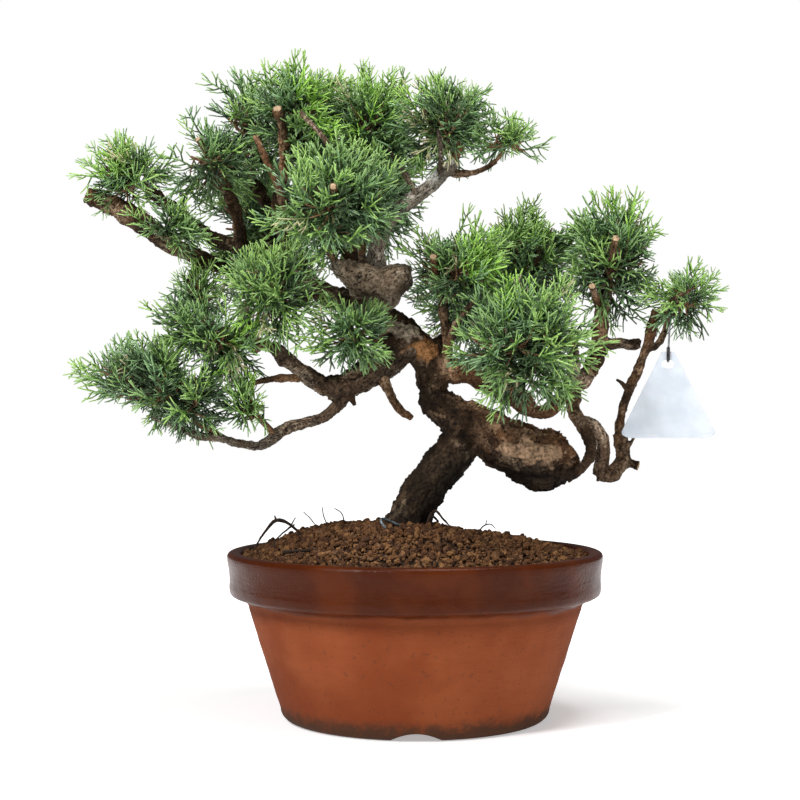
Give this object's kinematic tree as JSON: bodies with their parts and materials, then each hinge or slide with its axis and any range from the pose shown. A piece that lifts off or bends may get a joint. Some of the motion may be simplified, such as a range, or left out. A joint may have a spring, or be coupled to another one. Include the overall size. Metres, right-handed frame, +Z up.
{
  "type": "juniper bonsai in pot",
  "caption": "Informal juniper bonsai with a swollen, twisting trunk, long bare boughs and feathery foliage, standing in a round terracotta training bowl with a blank hanging label.",
  "frame": {"origin": "centre of the pot's flat underside, on the surface it stands on", "axes": "+Z up; the tree's front faces -Y, with its long low bough to the left (-X) and its label to the right (+X)"},
  "size_m": [0.4765, 0.2944, 0.4926],
  "materials": {
    "pot": "fired terracotta, satin brown slip on the rim band",
    "soil": "loose baked clay granules",
    "bark": "rough flaking bark with pale bare wood at the cuts",
    "foliage": "matt green scale foliage",
    "tag": "thin frosted plastic sheet",
    "tag_wire": "thin dull wire"
  },
  "bodies": {
    "root": {"pot": "pot", "soil": "soil", "trunk_burl": "bark", "trunk_curl": "bark", "trunk_foot": "bark", "main_bough": "bark", "apex_bough": "bark", "right_bough": "bark", "right_riser": "bark", "side_stub": "bark", "curl_twig": "bark", "loop_twig": "bark", "loop_elbow": "bark", "outer_twig": "bark", "outer_side_twig": "bark", "left_bough": "bark", "low_left_bough": "bark", "bare_spur": "bark", "dead_bough": "bark", "upper_left_bough": "bark", "upper_left_stub": "bark", "left_hanging_twig": "bark", "top_left_bough": "bark", "knot": "bark", "top_bough": "bark", "top_right_bough": "bark", "top_right_twig": "bark", "left_inner_twig": "bark", "low_centre_twig": "bark", "right_inner_twig": "bark", "right_front_twig": "bark", "right_back_bough": "bark", "back_left_bough": "bark", "back_bough": "bark", "back_right_bough": "bark", "foliage_low_left": "foliage", "foliage_low_inner": "foliage", "foliage_middle_left": "foliage", "foliage_left_hanging": "foliage", "foliage_left_inner": "foliage", "foliage_upper_left": "foliage", "foliage_under_left": "foliage", "foliage_left_shoulder": "foliage", "foliage_top_left": "foliage", "foliage_top": "foliage", "foliage_top_middle": "foliage", "foliage_top_right": "foliage", "foliage_top_right_tip": "foliage", "foliage_centre": "foliage", "foliage_low_centre": "foliage", "foliage_right_inner": "foliage", "foliage_right_front": "foliage", "foliage_right_back": "foliage", "foliage_right_top": "foliage", "foliage_right_far": "foliage", "foliage_back_left": "foliage", "foliage_back": "foliage", "foliage_back_right": "foliage", "tag": "tag", "tag_wire": "tag_wire"}
  },
  "joints": []
}
